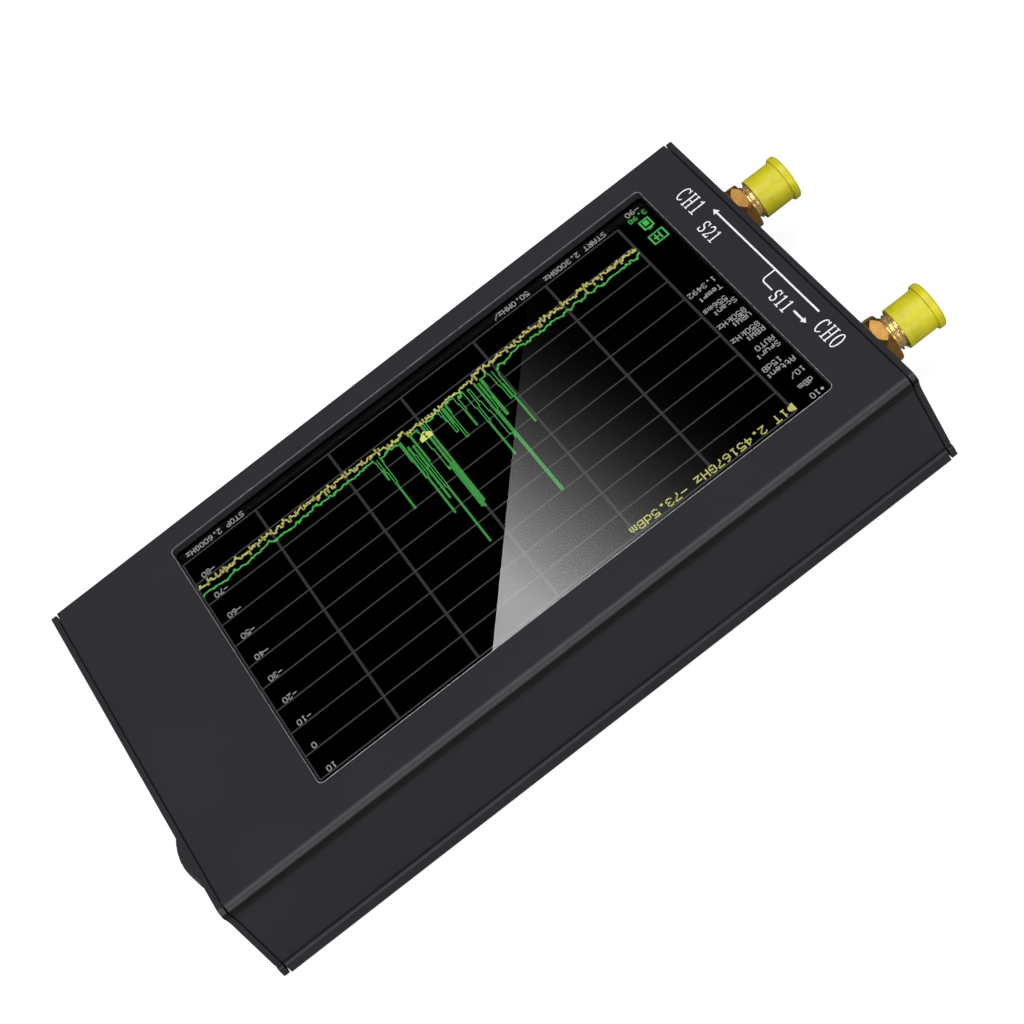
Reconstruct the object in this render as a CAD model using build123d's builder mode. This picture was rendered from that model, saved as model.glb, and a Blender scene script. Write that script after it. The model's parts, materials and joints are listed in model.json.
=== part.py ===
from build123d import *
import os
from math import cos, radians, sin

# Handheld two-port spectrum analyzer in an extruded aluminium case.
# Millimetres. Origin: centre of the case's bottom face. +X points to the control end
# (jog lever, power button, USB socket), -X to the end with the two coaxial ports,
# +Y to the upper edge of the display picture, +Z up out of the display.
os.makedirs("parts", exist_ok=True)

# ---------------------------------------------------------------- driving dimensions
SHELL_L = 127.4          # length of the extruded case without its end plates
CASE_H = 21.2            # height of the case
LIP_Y = 38.25            # half width at the rounded lip along each top edge
LIP_R = 1.3              # radius of that lip
LIP_UNDER = 30.0         # angle that the lip turns back under itself, degrees
SIDE_Y = 37.2            # half width at the flat sides, under the lip
FLANGE_Y = 37.8          # half width of the lower shell's flange
SEAM_Z = 2.8             # height of the line between the two shells
SEAM_CHAMFER = 0.3
FOOT_R = 0.9             # radius of the bottom long edges

TOP_T = 1.3              # thickness of the top face
FLOOR_T = 2.0
INNER_Y = 35.4           # half width of the hollow

PLATE_END = 65.0         # outer face of the end plates, from the middle of the case
PLATE_GAP = 0.35         # open groove between plate rim and shell
PLATE_INSET = 0.15       # the plates are this much smaller than the case all round

WINDOW_L, WINDOW_W, WINDOW_R = 96.95, 62.1, 0.8
WINDOW_X, WINDOW_Y = -6.475, -1.35
WINDOW_CHAMFER = 0.15

BOARD_TOP, BOARD_T = 13.0, 1.6
BOARD_HALF_W = 34.9
BOARD_X = (-62.5, 61.0)
BOARD_BOTTOM = BOARD_TOP - BOARD_T

SCREW_UPPER = (33.1, 15.5)   # places of the plate screws: half spacing in Y, height
SCREW_LOWER = (33.0, 5.0)
SCREW_BOSS_R = 2.3
SCREW_BOSS_L = 5.5
SCREW_HOLE_R = 1.5
SCREW_SHANK_R = 1.4
SCREW_SHANK_L = 5.8
SCREW_HEAD_R, SCREW_SUNK = 2.55, 0.05   # 90-degree heads, this far under the plate's face
SINK_R, PLATE_HOLE_R = 2.65, 1.65

PORT_Z = 13.4            # height of the coaxial ports' axes
PORT_Y = {"ch0": 21.15, "ch1": -21.65}
THREAD_R = 3.175         # outside of the 1/4-36 coupling thread
THREAD_END = 75.0
SHOULDER_R, SHOULDER_START, SHOULDER_END = 3.8, 62.6, 65.4
WASHER_T, NUT_T, NUT_FLATS = 0.5, 2.0, 8.0
CAP_MOUTH = {"ch0": 69.75, "ch1": 69.3}
CAP_L, CAP_R, CAP_RIM_R, CAP_RIM_L = 6.7, 3.65, 4.1, 1.4
CAP_BORE_R, CAP_END_T = 3.265, 0.8
WASHER_R, NUT_CHAMFER_ANGLE = 4.35, 25.0

CONTROL_Z = 9.8          # height of the controls' axes
JOG_Y = 16.4
JOG_R = 12.9             # radius of the lever's finger face about its pivot
JOG_PIVOT_X = 55.2
JOG_HALF_ANGLE = 26.0
JOG_HEAD_H = 4.4
POWER_Y = -21.0
USB_Y = 0.0
LIGHT_Y = (-10.2, -13.4)

SHELL_END = SHELL_L / 2
RIM_START = SHELL_END + PLATE_GAP
SHELL_TOP_INSIDE = CASE_H - TOP_T


def end_plane(end, x):
    """Plane across the case at distance x towards one end, local x = end * Y, local y = Z."""
    return Plane(origin=(end * x, 0, 0), x_dir=(0, end, 0), z_dir=(end, 0, 0))


def span(low, high):
    """Length and middle of a stretch."""
    return high - low, (high + low) / 2


# ---------------------------------------------------------------- case cross-section
cove_r = (LIP_Y - SIDE_Y) / (1 - cos(radians(LIP_UNDER))) - LIP_R

with BuildSketch() as case_outline:
    with BuildLine():
        top = Line((0, CASE_H), (LIP_Y - LIP_R, CASE_H))
        lip = JernArc(top @ 1, (1, 0), LIP_R, -90 - LIP_UNDER)
        cove = JernArc(lip @ 1, lip % 1, cove_r, LIP_UNDER)
        side = Line(cove @ 1, (SIDE_Y, SEAM_Z + SEAM_CHAMFER))
        seam = Polyline(
            side @ 1,
            (SIDE_Y - SEAM_CHAMFER, SEAM_Z),
            (FLANGE_Y - SEAM_CHAMFER, SEAM_Z),
            (FLANGE_Y, SEAM_Z - SEAM_CHAMFER),
            (FLANGE_Y, FOOT_R),
        )
        foot = JernArc(seam @ 1, (0, -1), FOOT_R, -90)
        Line(foot @ 1, (0, 0))
        mirror(about=Plane.YZ)
    make_face()


# ---------------------------------------------------------------- case
with BuildPart() as upper_shell:
    with BuildSketch(Plane.YZ.offset(-SHELL_END)):
        add(case_outline.sketch)
        with Locations((0, SHELL_TOP_INSIDE / 2)):
            Rectangle(2 * INNER_Y, SHELL_TOP_INSIDE, mode=Mode.SUBTRACT)
        with Locations((0, SEAM_Z / 2)):
            Rectangle(2 * LIP_Y, SEAM_Z, mode=Mode.SUBTRACT)
        rail_w, rail_h, rail_gap = 1.4, 1.0, 0.05
        for rail_z in (BOARD_TOP + rail_gap + rail_h / 2, BOARD_BOTTOM - rail_gap - rail_h / 2):
            for edge in (-1, 1):
                with Locations((edge * (INNER_Y - rail_w / 2), rail_z)):
                    Rectangle(rail_w, rail_h)
    extrude(amount=SHELL_L)
    for end in (-1, 1):
        with BuildSketch(end_plane(end, SHELL_END - SCREW_BOSS_L)):
            for edge in (-1, 1):
                with Locations((edge * SCREW_UPPER[0], SCREW_UPPER[1])):
                    Circle(SCREW_BOSS_R)
                with Locations((edge * (SCREW_UPPER[0] + INNER_Y) / 2, SCREW_UPPER[1])):
                    Rectangle(INNER_Y - SCREW_UPPER[0], 2 * SCREW_BOSS_R)
        extrude(amount=SCREW_BOSS_L)
        with BuildSketch(end_plane(end, SHELL_END)):
            for edge in (-1, 1):
                with Locations((edge * SCREW_UPPER[0], SCREW_UPPER[1])):
                    Circle(SCREW_HOLE_R)
        extrude(amount=-SCREW_BOSS_L, mode=Mode.SUBTRACT)
    with BuildSketch(Plane.XY.offset(CASE_H)):
        with Locations((WINDOW_X, WINDOW_Y)):
            RectangleRounded(WINDOW_L, WINDOW_W, WINDOW_R)
    extrude(amount=-2 * TOP_T, mode=Mode.SUBTRACT)
    window_edges = upper_shell.edges().filter_by_position(Axis.Z, CASE_H - 0.01, CASE_H + 0.01)
    window_edges = window_edges.filter_by_position(Axis.X, -SHELL_END + 5, SHELL_END - 5)
    window_edges = window_edges.filter_by_position(Axis.Y, -SIDE_Y + 3, SIDE_Y - 3)
    chamfer(window_edges, WINDOW_CHAMFER)
upper_shell.part.label = "upper_shell"
export_step(upper_shell.part, "parts/upper_shell.step")

with BuildPart() as lower_shell:
    tongue_t, tongue_top, tongue_play = 1.0, 5.4, 0.1
    with BuildSketch(Plane.YZ.offset(-SHELL_END)):
        add(case_outline.sketch)
        with Locations((0, SEAM_Z + CASE_H / 2)):
            Rectangle(3 * LIP_Y, CASE_H, mode=Mode.SUBTRACT)
        with Locations((0, FLOOR_T + SEAM_Z / 2)):
            Rectangle(2 * (INNER_Y - tongue_t), SEAM_Z, mode=Mode.SUBTRACT)
        for edge in (-1, 1):
            tongue_h, tongue_z = span(FLOOR_T, tongue_top)
            with Locations((edge * (INNER_Y - tongue_play - tongue_t / 2), tongue_z)):
                Rectangle(tongue_t, tongue_h)
    extrude(amount=SHELL_L)
    for end in (-1, 1):
        with BuildSketch(end_plane(end, SHELL_END - SCREW_BOSS_L)):
            for edge in (-1, 1):
                boss_w = INNER_Y - tongue_play - SCREW_LOWER[0]
                with Locations((edge * SCREW_LOWER[0], SCREW_LOWER[1])):
                    Circle(SCREW_BOSS_R - 0.1)
                with Locations((edge * (SCREW_LOWER[0] + boss_w / 2), SCREW_LOWER[1])):
                    Rectangle(boss_w, 2 * SCREW_BOSS_R - 0.2)
                with Locations((edge * SCREW_LOWER[0], (FLOOR_T + SCREW_LOWER[1]) / 2)):
                    Rectangle(2 * SCREW_BOSS_R - 0.2, SCREW_LOWER[1] - FLOOR_T)
        extrude(amount=SCREW_BOSS_L)
        with BuildSketch(end_plane(end, SHELL_END)):
            for edge in (-1, 1):
                with Locations((edge * SCREW_LOWER[0], SCREW_LOWER[1])):
                    Circle(SCREW_HOLE_R)
        extrude(amount=-SCREW_BOSS_L, mode=Mode.SUBTRACT)
lower_shell.part.label = "lower_shell"
export_step(lower_shell.part, "parts/lower_shell.step")


# ---------------------------------------------------------------- end plates
def plate_blank(end):
    """End plate without its openings: a rim standing off the shell, and a pad that touches it."""
    with BuildPart() as blank:
        with BuildSketch(end_plane(end, RIM_START)):
            offset(case_outline.sketch, amount=-PLATE_INSET)
        extrude(amount=PLATE_END - RIM_START)
        with BuildSketch(end_plane(end, SHELL_END)):
            with Locations((0, CASE_H / 2)):
                RectangleRounded(2 * SIDE_Y - 1.6, CASE_H - 1.6, 1.0)
        extrude(amount=PLATE_GAP)
        with BuildSketch(end_plane(end, SHELL_END)):
            for half_spacing, height in (SCREW_UPPER, SCREW_LOWER):
                for edge in (-1, 1):
                    with Locations((edge * half_spacing, height)):
                        Circle(PLATE_HOLE_R)
        extrude(amount=PLATE_END - SHELL_END, mode=Mode.SUBTRACT)
        with BuildSketch(end_plane(end, PLATE_END)):
            for half_spacing, height in (SCREW_UPPER, SCREW_LOWER):
                for edge in (-1, 1):
                    with Locations((edge * half_spacing, height)):
                        Circle(SINK_R)
        extrude(amount=PLATE_HOLE_R - SINK_R, taper=45, mode=Mode.SUBTRACT)
    return blank.part


port_hole_play = 0.2
with BuildPart() as port_end_plate:
    add(plate_blank(-1))
    with BuildSketch(end_plane(-1, SHELL_END)):
        for port_y in PORT_Y.values():
            with Locations((-port_y, PORT_Z)):
                Circle(SHOULDER_R + port_hole_play)
    extrude(amount=PLATE_END - SHELL_END, mode=Mode.SUBTRACT)
port_end_plate.part.label = "port_end_plate"
export_step(port_end_plate.part, "parts/port_end_plate.step")

USB_W, USB_H, USB_WALL = 8.94, 3.16, 0.3
POWER_R = 2.3
LIGHT_R = 1.0
JOG_SLOT_W, JOG_SLOT_H = 13.8, 5.2
with BuildPart() as control_end_plate:
    add(plate_blank(1))
    with BuildSketch(end_plane(1, SHELL_END)):
        with Locations((USB_Y, CONTROL_Z)):
            SlotOverall(USB_W + 0.5, USB_H + 0.5)
        with Locations((JOG_Y, CONTROL_Z)):
            RectangleRounded(JOG_SLOT_W, JOG_SLOT_H, 0.8)
        with Locations((POWER_Y, CONTROL_Z)):
            Circle(POWER_R + 0.2)
        for light_y in LIGHT_Y:
            with Locations((light_y, CONTROL_Z)):
                Circle(LIGHT_R + 0.05)
    extrude(amount=PLATE_END - SHELL_END, mode=Mode.SUBTRACT)
control_end_plate.part.label = "control_end_plate"
export_step(control_end_plate.part, "parts/control_end_plate.step")


def plate_screws(end):
    """Four countersunk screws with cross recesses, through one end plate."""
    recess_l, recess_w, recess_deep = 3.0, 0.62, 0.9
    head_face = PLATE_END - SCREW_SUNK
    with BuildPart() as screws:
        for half_spacing, height in (SCREW_UPPER, SCREW_LOWER):
            for edge in (-1, 1):
                with BuildSketch(end_plane(end, head_face)):
                    with Locations((edge * half_spacing, height)):
                        Circle(SCREW_HEAD_R)
                extrude(amount=SCREW_SHANK_R - SCREW_HEAD_R, taper=45)
                with BuildSketch(end_plane(end, head_face)):
                    with Locations((edge * half_spacing, height)):
                        Circle(SCREW_SHANK_R)
                extrude(amount=-SCREW_SHANK_L)
        for half_spacing, height in (SCREW_UPPER, SCREW_LOWER):
            for edge in (-1, 1):
                with BuildSketch(end_plane(end, head_face)):
                    with Locations((edge * half_spacing, height)):
                        Rectangle(recess_l, recess_w)
                        Rectangle(recess_w, recess_l)
                extrude(amount=-recess_deep, mode=Mode.SUBTRACT)
    return screws.part


for screws_name, screws_end in (("port_end_screws", -1), ("control_end_screws", 1)):
    with BuildPart() as screw_set:
        add(plate_screws(screws_end))
    screw_set.part.label = screws_name
    export_step(screw_set.part, f"parts/{screws_name}.step")


# ---------------------------------------------------------------- display stack, from the window down
GASKET_T, GLASS_T, TAPE_T, LCD_T, TRAY_T = 0.3, 0.6, 0.1, 1.1, 2.2
GLASS_BOX = ((-57.7, 45.2), (-34.85, 31.75))
LCD_BOX = ((-57.0, 44.4), (-34.4, 31.3))


def layer(name, box, corner_r, z_top, thickness, hole_margin=None):
    """Flat layer of the display, with an opening hole_margin wider than the window if given."""
    length, mid_x = span(*box[0])
    width, mid_y = span(*box[1])
    with BuildPart() as sheet:
        with BuildSketch(Plane.XY.offset(z_top)):
            with Locations((mid_x, mid_y)):
                RectangleRounded(length, width, corner_r)
            if hole_margin is not None:
                with Locations((WINDOW_X, WINDOW_Y)):
                    RectangleRounded(
                        WINDOW_L + 2 * hole_margin,
                        WINDOW_W + 2 * hole_margin,
                        WINDOW_R,
                        mode=Mode.SUBTRACT,
                    )
        extrude(amount=-thickness)
    sheet.part.label = name
    export_step(sheet.part, f"parts/{name}.step")


glass_top = SHELL_TOP_INSIDE - GASKET_T
lcd_top = glass_top - GLASS_T - TAPE_T
layer("display_gasket", GLASS_BOX, 1.0, SHELL_TOP_INSIDE, GASKET_T, hole_margin=0.5)
layer("touch_glass", GLASS_BOX, 1.0, glass_top, GLASS_T)
layer("panel_tape", LCD_BOX, 1.0, glass_top - GLASS_T, TAPE_T, hole_margin=0.6)
layer("lcd_panel", LCD_BOX, 0.5, lcd_top, LCD_T)
layer("backlight_tray", LCD_BOX, 0.8, lcd_top - LCD_T, TRAY_T)

# ---------------------------------------------------------------- main board
FLEX_SLOT_X = 48.5
# each flex cable: middle and width in Y, height and X where it leaves the display
FLEXES = {
    "lcd": (4.0, 22.0, lcd_top - LCD_T - 0.6, 44.4),
    "touch": (-14.0, 6.0, glass_top - GLASS_T - 0.1, 44.55),
}

with BuildPart() as main_board:
    board_l, board_mid = span(*BOARD_X)
    with BuildSketch(Plane.XY.offset(BOARD_BOTTOM)):
        with Locations((board_mid, 0)):
            RectangleRounded(board_l, 2 * BOARD_HALF_W, 1.0)
        for flex_y, flex_w, _, _ in FLEXES.values():
            with Locations((FLEX_SLOT_X, flex_y)):
                RectangleRounded(1.8, flex_w + 2.0, 0.6, mode=Mode.SUBTRACT)
    extrude(amount=BOARD_T)
main_board.part.label = "main_board"
export_step(main_board.part, "parts/main_board.step")


def block(name, x_span, y_span, z_span, corner=0.2):
    """Rectangular component with its upright corners rounded."""
    length, mid_x = span(*x_span)
    width, mid_y = span(*y_span)
    with BuildPart() as piece:
        with BuildSketch(Plane.XY.offset(z_span[0])):
            with Locations((mid_x, mid_y)):
                RectangleRounded(length, width, corner)
        extrude(amount=z_span[1] - z_span[0])
    piece.part.label = name
    export_step(piece.part, f"parts/{name}.step")


block("processor_chip", (14, 26), (-16, -4), (BOARD_TOP, BOARD_TOP + 1.2))
block("synthesizer_chip", (-12, -5), (6, 13), (BOARD_BOTTOM - 0.9, BOARD_BOTTOM))

FLEX_T, FLEX_BEND_R, FLEX_END = 0.16, 0.8, 44.8
flex_low = BOARD_BOTTOM - 1.2
for flex_name, (flex_y, flex_w, flex_top, flex_start) in FLEXES.items():
    block(
        f"{flex_name}_flex_socket",
        (FLEX_END - 3.2, FLEX_END),
        (flex_y - flex_w / 2 - 1.5, flex_y + flex_w / 2 + 1.5),
        (BOARD_BOTTOM - 2.0, BOARD_BOTTOM),
    )
    with BuildPart() as flex:
        with BuildSketch(Plane.XZ.offset(-flex_y)):
            with BuildLine():
                FilletPolyline(
                    (flex_start, flex_top),
                    (FLEX_SLOT_X, flex_top),
                    (FLEX_SLOT_X, flex_low),
                    (FLEX_END, flex_low),
                    radius=FLEX_BEND_R,
                )
            trace(line_width=FLEX_T)
        extrude(amount=flex_w / 2, both=True)
    flex.part.label = f"{flex_name}_flex"
    export_step(flex.part, f"parts/{flex_name}_flex.step")

CAN_L, CAN_W, CAN_H, CAN_WALL = 34.0, 24.0, 3.0, 0.2
CAN_X, CAN_Y = -38.0, 16.0
for can_name, can_y in (("source_shield_can", CAN_Y), ("receiver_shield_can", -CAN_Y)):
    with BuildPart() as can:
        with BuildSketch(Plane.XY.offset(BOARD_BOTTOM)):
            with Locations((CAN_X, can_y)):
                RectangleRounded(CAN_L, CAN_W, 1.0)
        extrude(amount=-CAN_H)
        mouth = can.faces().sort_by(Axis.Z)[-1]
        offset(amount=-CAN_WALL, openings=mouth)
    can.part.label = can_name
    export_step(can.part, f"parts/{can_name}.step")

# ---------------------------------------------------------------- battery
BATTERY_X, BATTERY_Y, BATTERY_Z = (-48.0, 46.0), (-28.0, 28.0), (2.2, 7.2)
with BuildPart() as battery_pack:
    battery_l, battery_mid = span(*BATTERY_X)
    with BuildSketch(Plane.XY.offset(BATTERY_Z[0])):
        with Locations((battery_mid, 0)):
            RectangleRounded(battery_l, BATTERY_Y[1] - BATTERY_Y[0], 1.5)
    extrude(amount=BATTERY_Z[1] - BATTERY_Z[0])
    fillet(battery_pack.edges().group_by(Axis.Z)[-1], 0.9)
battery_pack.part.label = "battery_pack"
export_step(battery_pack.part, "parts/battery_pack.step")

block("battery_tape", (-44, 42), (-20, 20), (FLOOR_T, BATTERY_Z[0]))

PLUG_Y = (-30.6, -23.4)
PLUG_END = 50.2
block("battery_socket", (42.0, 46.5), PLUG_Y, (BOARD_BOTTOM - 3.2, BOARD_BOTTOM))
block("battery_plug", (46.5, PLUG_END), PLUG_Y, (BOARD_BOTTOM - 2.9, BOARD_BOTTOM - 0.2))

WIRE_R, WIRE_LOW, WIRE_HIGH, WIRE_TURN_X = 0.65, 4.7, BOARD_BOTTOM - 1.55, 53.4
with BuildPart() as battery_leads:
    for wire_y in (-26.2, -27.8):
        with BuildLine(Plane.XZ.offset(-wire_y)) as wire_route:
            FilletPolyline(
                (BATTERY_X[1], WIRE_LOW),
                (WIRE_TURN_X, WIRE_LOW),
                (WIRE_TURN_X, WIRE_HIGH),
                (PLUG_END, WIRE_HIGH),
                radius=2.2,
            )
        with BuildSketch(Plane(origin=(BATTERY_X[1], wire_y, WIRE_LOW), z_dir=(1, 0, 0))):
            Circle(WIRE_R)
        sweep(path=wire_route.line)
battery_leads.part.label = "battery_leads"
export_step(battery_leads.part, "parts/battery_leads.step")

# ---------------------------------------------------------------- USB socket
USB_X = (57.8, 64.6)
USB_BACK_T, TONGUE_W, TONGUE_T, TONGUE_SHORT = 1.6, 6.69, 0.7, 0.5
with BuildPart() as usb_shell:
    with BuildSketch(end_plane(1, USB_X[0])):
        with Locations((USB_Y, CONTROL_Z)):
            SlotOverall(USB_W, USB_H)
            SlotOverall(USB_W - 2 * USB_WALL, USB_H - 2 * USB_WALL, mode=Mode.SUBTRACT)
    extrude(amount=USB_X[1] - USB_X[0])
usb_shell.part.label = "usb_shell"
export_step(usb_shell.part, "parts/usb_shell.step")

with BuildPart() as usb_tongue:
    with BuildSketch(end_plane(1, USB_X[0])):
        with Locations((USB_Y, CONTROL_Z)):
            SlotOverall(USB_W - 2 * USB_WALL - 0.04, USB_H - 2 * USB_WALL - 0.04)
    extrude(amount=USB_BACK_T)
    with BuildSketch(end_plane(1, USB_X[0])):
        with Locations((USB_Y, CONTROL_Z)):
            Rectangle(TONGUE_W, TONGUE_T)
    extrude(amount=USB_X[1] - USB_X[0] - TONGUE_SHORT)
usb_tongue.part.label = "usb_tongue"
export_step(usb_tongue.part, "parts/usb_tongue.step")

# ---------------------------------------------------------------- status lights
LED_X, LED_W, LED_BELOW = (59.4, 61.2), 1.6, 0.9
LIGHT_GAP = 0.1          # air between each LED and its light pipe
with BuildPart() as status_leds:
    led_l, led_mid = span(*LED_X)
    with BuildSketch(Plane.XY.offset(CONTROL_Z - LED_BELOW)):
        for light_y in LIGHT_Y:
            with Locations((led_mid, light_y)):
                Rectangle(led_l, LED_W)
    extrude(amount=BOARD_BOTTOM - CONTROL_Z + LED_BELOW)
status_leds.part.label = "status_leds"
export_step(status_leds.part, "parts/status_leds.step")

with BuildPart() as light_pipes:
    with BuildSketch(end_plane(1, LED_X[1] + LIGHT_GAP)):
        for light_y in LIGHT_Y:
            with Locations((light_y, CONTROL_Z)):
                Circle(LIGHT_R)
    extrude(amount=PLATE_END - LED_X[1] - LIGHT_GAP)
light_pipes.part.label = "light_pipes"
export_step(light_pipes.part, "parts/light_pipes.step")

# ---------------------------------------------------------------- power button
BUTTON_X = (62.0, 66.0)
BUTTON_FLANGE_R, BUTTON_FLANGE_T = POWER_R + 0.6, 1.0
PLUNGER_X = (58.6, 62.0)
PLUNGER_R, PLUNGER_PLAY = 1.0, 0.15
SWITCH_X, SWITCH_W, SWITCH_BELOW, SWITCH_BORE_L = (55.6, 60.0), 6.0, 1.8, 2.5
with BuildPart() as power_switch_body:
    switch_l, switch_mid = span(*SWITCH_X)
    with BuildSketch(Plane.XY.offset(CONTROL_Z - SWITCH_BELOW)):
        with Locations((switch_mid, POWER_Y)):
            RectangleRounded(switch_l, SWITCH_W, 0.3)
    extrude(amount=BOARD_BOTTOM - CONTROL_Z + SWITCH_BELOW)
    with BuildSketch(end_plane(1, SWITCH_X[1])):
        with Locations((POWER_Y, CONTROL_Z)):
            Circle(PLUNGER_R + PLUNGER_PLAY)
    extrude(amount=-SWITCH_BORE_L, mode=Mode.SUBTRACT)
power_switch_body.part.label = "power_switch_body"
export_step(power_switch_body.part, "parts/power_switch_body.step")

with BuildPart() as power_plunger:
    with BuildSketch(end_plane(1, PLUNGER_X[0])):
        with Locations((POWER_Y, CONTROL_Z)):
            Circle(PLUNGER_R)
    extrude(amount=PLUNGER_X[1] - PLUNGER_X[0])
power_plunger.part.label = "power_plunger"
export_step(power_plunger.part, "parts/power_plunger.step")

with BuildPart() as power_button:
    with BuildSketch(end_plane(1, BUTTON_X[0])):
        with Locations((POWER_Y, CONTROL_Z)):
            Circle(BUTTON_FLANGE_R)
    extrude(amount=BUTTON_FLANGE_T)
    with BuildSketch(end_plane(1, BUTTON_X[0])):
        with Locations((POWER_Y, CONTROL_Z)):
            Circle(POWER_R)
    extrude(amount=BUTTON_X[1] - BUTTON_X[0])
    fillet(power_button.faces().sort_by(Axis.X)[-1].edges(), 0.35)
power_button.part.label = "power_button"
export_step(power_button.part, "parts/power_button.step")

# ---------------------------------------------------------------- jog lever
# The carriage slides in the switch body when the lever is pressed; the lever rocks about its pin.
JOG_BODY_X, JOG_BODY_W = (50.8, 59.4), 9.2
JOG_BODY_Z = (CONTROL_Z - 1.85, BOARD_BOTTOM)
JOG_BAY_H, JOG_BAY_W, JOG_BAY_X = 2.6, 7.6, 51.6
JOG_PIN_R = 0.5
with BuildPart() as jog_switch_body:
    body_l, body_mid = span(*JOG_BODY_X)
    with BuildSketch(Plane.XY.offset(JOG_BODY_Z[0])):
        with Locations((body_mid, JOG_Y)):
            Rectangle(body_l, JOG_BODY_W)
    extrude(amount=JOG_BODY_Z[1] - JOG_BODY_Z[0])
    with BuildSketch(end_plane(1, JOG_BODY_X[1])):
        with Locations((JOG_Y, CONTROL_Z)):
            Rectangle(JOG_BAY_W, JOG_BAY_H)
    extrude(amount=-(JOG_BODY_X[1] - JOG_BAY_X), mode=Mode.SUBTRACT)
jog_switch_body.part.label = "jog_switch_body"
export_step(jog_switch_body.part, "parts/jog_switch_body.step")

CARRIAGE_X, CARRIAGE_W, CARRIAGE_H, CARRIAGE_GAP = (52.3, 57.0), 7.2, 2.2, 1.5
with BuildPart() as jog_carriage:
    carriage_l, carriage_mid = span(*CARRIAGE_X)
    with BuildSketch(Plane.XY.offset(CONTROL_Z - CARRIAGE_H / 2)):
        with Locations((carriage_mid, JOG_Y)):
            Rectangle(carriage_l, CARRIAGE_W)
    extrude(amount=CARRIAGE_H)
    with BuildSketch(end_plane(1, CARRIAGE_X[1])):
        with Locations((JOG_Y, CONTROL_Z)):
            Rectangle(CARRIAGE_W + 1, CARRIAGE_GAP)
    extrude(amount=-(carriage_l - 0.8), mode=Mode.SUBTRACT)
    with BuildSketch(Plane.XY.offset(CONTROL_Z - CARRIAGE_H)):
        with Locations((JOG_PIVOT_X, JOG_Y)):
            Circle(JOG_PIN_R)
    extrude(amount=2 * CARRIAGE_H, mode=Mode.SUBTRACT)
jog_carriage.part.label = "jog_carriage"
export_step(jog_carriage.part, "parts/jog_carriage.step")

with BuildPart() as jog_pin:
    with BuildSketch(Plane.XY.offset(CONTROL_Z - CARRIAGE_H / 2)):
        with Locations((JOG_PIVOT_X, JOG_Y)):
            Circle(JOG_PIN_R)
    extrude(amount=CARRIAGE_H)
jog_pin.part.label = "jog_pin"
export_step(jog_pin.part, "parts/jog_pin.step")

JOG_WEB_T, JOG_WEB_W, JOG_HUB_R, JOG_HEAD_DEEP = 1.0, 3.2, 1.7, 4.4


def jog_point(radius, angle):
    """Point at a radius and an angle, in degrees, about the lever's pivot."""
    return (JOG_PIVOT_X + radius * cos(radians(angle)), JOG_Y + radius * sin(radians(angle)))


with BuildPart() as jog_lever:
    with BuildSketch(Plane.XY.offset(CONTROL_Z - JOG_WEB_T / 2)):
        with Locations((JOG_PIVOT_X, JOG_Y)):
            Circle(JOG_HUB_R)
        with Locations((JOG_PIVOT_X + (JOG_R - 1) / 2, JOG_Y)):
            Rectangle(JOG_R - 1, JOG_WEB_W)
    extrude(amount=JOG_WEB_T)
    with BuildSketch(Plane.XY.offset(CONTROL_Z - JOG_HEAD_H / 2)):
        with BuildLine():
            CenterArc((JOG_PIVOT_X, JOG_Y), JOG_R, -JOG_HALF_ANGLE, 2 * JOG_HALF_ANGLE)
            CenterArc((JOG_PIVOT_X, JOG_Y), JOG_R - JOG_HEAD_DEEP, -JOG_HALF_ANGLE, 2 * JOG_HALF_ANGLE)
            for side_angle in (-JOG_HALF_ANGLE, JOG_HALF_ANGLE):
                Line(jog_point(JOG_R - JOG_HEAD_DEEP, side_angle), jog_point(JOG_R, side_angle))
        make_face()
    extrude(amount=JOG_HEAD_H)
    with BuildSketch(Plane.XY.offset(CONTROL_Z - JOG_HEAD_H)):
        with Locations((JOG_PIVOT_X, JOG_Y)):
            Circle(JOG_PIN_R + 0.05)
    extrude(amount=2 * JOG_HEAD_H, mode=Mode.SUBTRACT)
    finger_edges = jog_lever.edges().filter_by_position(Axis.X, PLATE_END + 1.5, PLATE_END + 5)
    fillet(finger_edges.filter_by(GeomType.CIRCLE), 0.7)
    groove_r, groove_step = 0.35, 8
    for groove in (-2, -1, 0, 1, 2):
        with BuildSketch(Plane.XY.offset(CONTROL_Z - JOG_HEAD_H)):
            with Locations(jog_point(JOG_R + 0.1, groove * groove_step)):
                Circle(groove_r)
        extrude(amount=2 * JOG_HEAD_H, mode=Mode.SUBTRACT)
jog_lever.part.label = "jog_lever"
export_step(jog_lever.part, "parts/jog_lever.step")

# ---------------------------------------------------------------- coaxial ports and their dust caps
DIELECTRIC_R, MOUTH_R, MOUTH_DEEP = 2.05, 2.3, 1.9
CONTACT_R, SOCKET_R, SOCKET_DEEP, TAIL_R = 0.635, 0.47, 3.0, 0.38
LEG_X, LEG_W, LEG_H, LEG_Y = (58.6, 62.7), 1.0, 1.2, 2.54


def disc_stack(port_y, steps, holes=()):
    """Turned part on a port's axis: (radius, from, to) steps, and holes taken out of them."""
    with BuildPart() as turned:
        for group, mode in ((steps, Mode.ADD), (holes, Mode.SUBTRACT)):
            for radius, start, stop in group:
                with BuildSketch(end_plane(-1, start)):
                    with Locations((-port_y, PORT_Z)):
                        Circle(radius)
                extrude(amount=stop - start, mode=mode)
    return turned.part


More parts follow.
